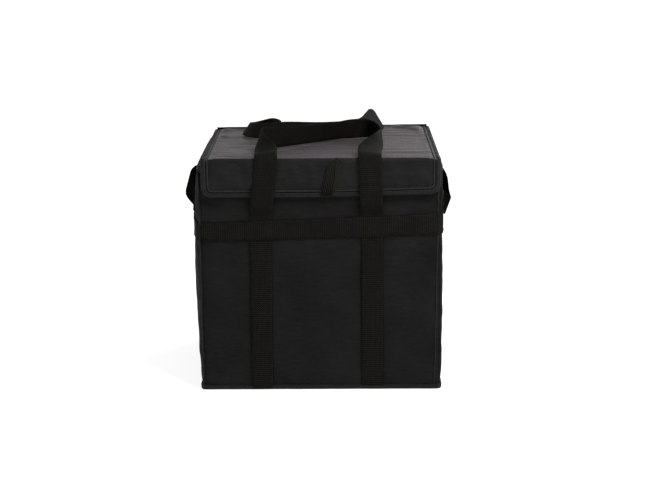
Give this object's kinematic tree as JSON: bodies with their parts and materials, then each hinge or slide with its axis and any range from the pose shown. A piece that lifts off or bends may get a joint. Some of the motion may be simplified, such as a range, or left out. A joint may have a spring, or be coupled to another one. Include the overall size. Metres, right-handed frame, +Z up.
{
  "type": "insulated food carrier",
  "caption": "Soft square insulated bag with a padded lid that folds down over the front, webbing carrying handles, side grab handles and a foil-lined interior.",
  "frame": {"origin": "centre of the base's underside", "axes": "+Z up, front with the flap towards -Y, +X to the right seen from the front"},
  "size_m": [0.4414, 0.3644, 0.44],
  "materials": {
    "cover_fabric": "black woven polyester, faint sheen",
    "lid_fabric": "black woven polyester, lid panel",
    "webbing": "ribbed polypropylene webbing",
    "binding": "folded grosgrain tape, stitched",
    "foam": "closed-cell polyethylene foam",
    "foil_liner": "metallised film, embossed",
    "board": "plain sheet",
    "hook_tape": "moulded hooks",
    "loop_tape": "brushed loops"
  },
  "bodies": {
    "carcass": {"front_cover": "cover_fabric", "back_cover": "cover_fabric", "left_cover": "cover_fabric", "right_cover": "cover_fabric", "base_cover": "cover_fabric", "front_foam": "foam", "back_foam": "foam", "left_foam": "foam", "right_foam": "foam", "base_foam": "foam", "stiffener_board": "board", "liner_tub": "foil_liner", "rim_binding": "binding", "corner_bindings": "binding", "base_binding": "binding", "waist_band": "webbing", "front_left_strap": "webbing", "front_right_strap": "webbing", "back_left_strap": "webbing", "back_right_strap": "webbing", "side_handle_anchors": "webbing", "loop_tape": "loop_tape", "hinge_strip": "cover_fabric"},
    "lid": {"lid_cover": "lid_fabric", "lid_foam": "foam", "lid_liner": "foil_liner", "lid_bindings": "binding"},
    "flap": {"flap_cover": "cover_fabric", "flap_foam": "foam", "flap_liner": "foil_liner", "flap_binding": "binding", "hook_tape": "hook_tape"},
    "tab": {"pull_tab": "webbing"},
    "front_legs": {"front_handle_legs": "webbing"},
    "front_turns": {"front_handle_turns": "webbing"},
    "front_loop": {"front_handle_loop": "webbing"},
    "back_legs": {"back_handle_legs": "webbing"},
    "back_turns": {"back_handle_turns": "webbing"},
    "back_loop": {"back_handle_loop": "webbing"},
    "left_grab": {"left_side_handle": "webbing"},
    "right_grab": {"right_side_handle": "webbing"}
  },
  "joints": [
    {"name": "lid_hinge", "type": "hinge", "parent": "carcass", "child": "lid", "pos_m": [0, 0.165, 0.4], "axis": [-1, 0, 0], "range_deg": [0, 105], "deforming": ["front_handle_legs", "front_handle_turns", "front_handle_loop", "back_handle_legs", "back_handle_turns", "back_handle_loop"]},
    {"name": "flap_fold", "type": "hinge", "parent": "lid", "child": "flap", "pos_m": [0, -0.1784, 0.4], "axis": [-1, 0, 0], "range_deg": [0, 38]},
    {"name": "tab_flip", "type": "hinge", "parent": "flap", "child": "tab", "pos_m": [0, -0.1817, 0.335], "axis": [1, 0, 0], "range_deg": [0, 160]},
    {"name": "left_grab_lift", "type": "hinge", "parent": "carcass", "child": "left_grab", "pos_m": [-0.2039, 0, 0.3385], "axis": [0, 1, 0], "range_deg": [0, 60]},
    {"name": "right_grab_lift", "type": "hinge", "parent": "carcass", "child": "right_grab", "pos_m": [0.2039, 0, 0.3385], "axis": [0, -1, 0], "range_deg": [0, 60]},
    {"name": "front_legs_swing", "type": "hinge", "parent": "carcass", "child": "front_legs", "pos_m": [0, -0.1699, 0.3005], "axis": [1, 0, 0], "range_deg": [0, 130]},
    {"name": "front_turn_unfold", "type": "hinge", "parent": "front_legs", "child": "front_turns", "pos_m": [0, -0.1813, 0.402], "axis": [1, 0, 0], "range_deg": [0, 135]},
    {"name": "front_loop_raise", "type": "hinge", "parent": "front_turns", "child": "front_loop", "pos_m": [0, -0.1813, 0.402], "axis": [-1, 0, 0], "range_deg": [-85, 0]},
    {"name": "back_legs_swing", "type": "hinge", "parent": "carcass", "child": "back_legs", "pos_m": [0, 0.1699, 0.3005], "axis": [-1, 0, 0], "range_deg": [0, 130]},
    {"name": "back_turn_unfold", "type": "hinge", "parent": "back_legs", "child": "back_turns", "pos_m": [0, 0.1813, 0.402], "axis": [-1, 0, 0], "range_deg": [0, 135]},
    {"name": "back_loop_raise", "type": "hinge", "parent": "back_turns", "child": "back_loop", "pos_m": [0, 0.1813, 0.402], "axis": [1, 0, 0], "range_deg": [-85, 0]}
  ],
  "couplings": [
    {"joint": "flap_fold", "follows": "lid_hinge", "ratio": 0.3429},
    {"joint": "front_legs_swing", "follows": "lid_hinge", "ratio": 1.238},
    {"joint": "front_turn_unfold", "follows": "lid_hinge", "ratio": 1.2857},
    {"joint": "back_legs_swing", "follows": "lid_hinge", "ratio": 1.238},
    {"joint": "back_turn_unfold", "follows": "lid_hinge", "ratio": 1.2857}
  ]
}
